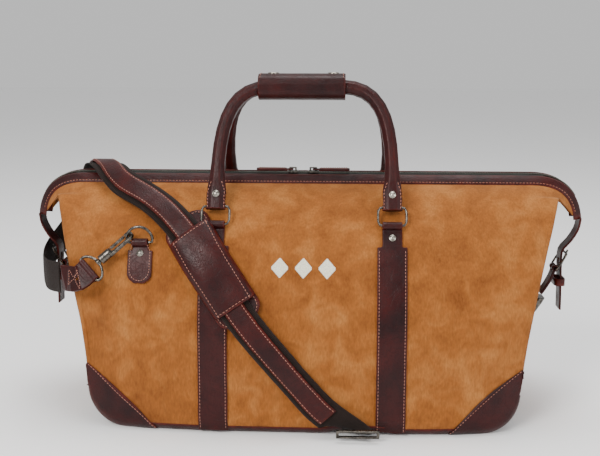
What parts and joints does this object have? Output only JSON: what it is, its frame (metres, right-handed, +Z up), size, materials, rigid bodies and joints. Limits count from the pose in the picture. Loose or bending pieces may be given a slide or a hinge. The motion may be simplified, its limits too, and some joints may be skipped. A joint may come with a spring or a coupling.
{
  "type": "weekender bag",
  "caption": "soft suede weekender bag with leather trim, zip top pulled down into side wings, two rolled handles and a clipped-on padded shoulder strap",
  "frame": {"origin": "bottom centre of the bag, on the surface that it stands on", "axes": "+X along the length, to the right as seen from the front; +Y from the front face to the back; +Z up"},
  "size_m": [0.642, 0.2738, 0.3924],
  "materials": {
    "suede": "soft tan suede, napped, mottled",
    "leather": "oxblood brown pebbled leather, semi-matt",
    "webbing": "dark brown woven webbing",
    "lining": "plain woven cotton lining",
    "board": "stiffening board and rope core",
    "gunmetal": "antique gunmetal plating, worn bright on the edges",
    "zip": "dark zip tape with metal teeth"
  },
  "bodies": {
    "bag": {"front_panel": "suede", "back_panel": "suede", "end_gusset_left": "suede", "end_gusset_right": "suede", "base_panel": "leather", "base_board": "board", "lining": "lining", "corner_patch_front_left": "leather", "panel_strap_front_left": "leather", "corner_patch_front_right": "leather", "panel_strap_front_right": "leather", "corner_patch_back_left": "leather", "panel_strap_back_left": "leather", "corner_patch_back_right": "leather", "panel_strap_back_right": "leather", "top_binding_front": "leather", "top_binding_back": "leather", "zip_tape": "zip", "d_ring_tab_front": "leather", "hook_swivel_front": "gunmetal", "strap_end_front": "leather", "d_ring_tab_back": "leather", "hook_swivel_back": "gunmetal", "strap_end_back": "leather", "strap_webbing": "webbing", "strap_leather": "leather", "shoulder_pad": "leather", "strap_slider": "gunmetal", "side_strap_left": "leather", "side_tab_left": "leather", "side_clip_left": "gunmetal", "side_strap_right": "leather", "side_tab_right": "leather", "side_clip_right": "gunmetal"},
    "front_rings": {"ring_front_left": "gunmetal", "ring_front_right": "gunmetal"},
    "back_rings": {"ring_back_left": "gunmetal", "ring_back_right": "gunmetal"},
    "front_handle": {"handle_front": "leather", "handle_core_front": "board"},
    "back_handle": {"handle_back": "leather", "handle_core_back": "board", "wrap_back": "leather"},
    "wrap_flap": {"wrap_flap": "leather"},
    "zip_slider_left": {"zip_slider_left": "gunmetal"},
    "zip_slider_right": {"zip_slider_right": "gunmetal"},
    "zip_pull_left": {"zip_pull_left": "leather"},
    "zip_pull_right": {"zip_pull_right": "leather"},
    "d_ring_front": {"d_ring_front": "gunmetal"},
    "d_ring_back": {"d_ring_back": "gunmetal"},
    "hook_front": {"hook_front": "gunmetal"},
    "hook_back": {"hook_back": "gunmetal"},
    "hook_gate_front": {"hook_gate_front": "gunmetal"},
    "hook_gate_back": {"hook_gate_back": "gunmetal"},
    "side_buckle_left": {"side_buckle_left": "gunmetal"},
    "side_buckle_right": {"side_buckle_right": "gunmetal"},
    "side_prong_left": {"side_prong_left": "gunmetal"},
    "side_prong_right": {"side_prong_right": "gunmetal"}
  },
  "joints": [
    {"name": "front_ring_fold", "type": "hinge", "parent": "bag", "child": "front_rings", "pos_m": [0, -0.079, 0.229], "axis": [1, 0, 0], "range_deg": [0, 20]},
    {"name": "front_handle_fold", "type": "hinge", "parent": "front_rings", "child": "front_handle", "pos_m": [0, -0.07007, 0.24801], "axis": [1, 0, 0], "range_deg": [0, 108], "deforming": ["wrap_flap"]},
    {"name": "back_ring_fold", "type": "hinge", "parent": "bag", "child": "back_rings", "pos_m": [0, 0.079, 0.229], "axis": [-1, 0, 0], "range_deg": [0, 20]},
    {"name": "back_handle_fold", "type": "hinge", "parent": "back_rings", "child": "back_handle", "pos_m": [0, 0.07007, 0.24801], "axis": [-1, 0, 0], "range_deg": [0, 140]},
    {"name": "wrap_open", "type": "hinge", "parent": "back_handle", "child": "wrap_flap", "pos_m": [0, 0, 0.3612], "axis": [1, 0, 0], "range_deg": [0, 100]},
    {"name": "zip_left", "type": "slide", "parent": "bag", "child": "zip_slider_left", "axis": [-1, 0, 0], "range_m": [0, 0.125]},
    {"name": "zip_right", "type": "slide", "parent": "bag", "child": "zip_slider_right", "axis": [1, 0, 0], "range_m": [0, 0.195]},
    {"name": "pull_left", "type": "hinge", "parent": "zip_slider_left", "child": "zip_pull_left", "pos_m": [-0.016, 0, 0.2809], "axis": [0, 1, 0], "range_deg": [0, 140]},
    {"name": "pull_right", "type": "hinge", "parent": "zip_slider_right", "child": "zip_pull_right", "pos_m": [0.008, 0, 0.2809], "axis": [0, -1, 0], "range_deg": [0, 140]},
    {"name": "d_ring_front", "type": "hinge", "parent": "bag", "child": "d_ring_front", "pos_m": [-0.1803, -0.09006, 0.20991], "axis": [0.9987, -0.0442, 0.0246], "range_deg": [-2, 6]},
    {"name": "d_ring_back", "type": "hinge", "parent": "bag", "child": "d_ring_back", "pos_m": [0.18031, 0.09006, 0.20991], "axis": [-0.9987, 0.0446, 0.0248], "range_deg": [-2, 6]},
    {"name": "swivel_front", "type": "hinge", "parent": "bag", "child": "hook_front", "pos_m": [-0.2236, -0.1025, 0.19035], "axis": [0.7239, 0.3029, 0.6198], "range_deg": [-6, 6]},
    {"name": "swivel_back", "type": "hinge", "parent": "bag", "child": "hook_back", "pos_m": [0.13737, 0.10633, 0.19248], "axis": [0.7239, -0.3673, 0.584], "range_deg": [-6, 6]},
    {"name": "gate_front", "type": "hinge", "parent": "hook_front", "child": "hook_gate_front", "pos_m": [-0.21298, -0.09247, 0.20321], "axis": [0.4302, 0.5041, -0.7489], "range_deg": [0, 8], "stiffness_Nm_per_rad": 0.02},
    {"name": "gate_back", "type": "hinge", "parent": "hook_back", "child": "hook_gate_back", "pos_m": [0.14768, 0.09537, 0.20482], "axis": [-0.3464, 0.5386, 0.7681], "range_deg": [0, 8], "stiffness_Nm_per_rad": 0.02},
    {"name": "buckle_left", "type": "hinge", "parent": "bag", "child": "side_buckle_left", "pos_m": [-0.294, 0, 0.166], "axis": [0, -1, 0], "range_deg": [0, 2.5]},
    {"name": "prong_left", "type": "hinge", "parent": "side_buckle_left", "child": "side_prong_left", "pos_m": [-0.294, 0, 0.166], "axis": [0, -1, 0], "range_deg": [0, 2.5]},
    {"name": "buckle_right", "type": "hinge", "parent": "bag", "child": "side_buckle_right", "pos_m": [0.294, 0, 0.166], "axis": [0, 1, 0], "range_deg": [0, 10]},
    {"name": "prong_right", "type": "hinge", "parent": "side_buckle_right", "child": "side_prong_right", "pos_m": [0.294, 0, 0.166], "axis": [0, 1, 0], "range_deg": [0, 10]}
  ]
}
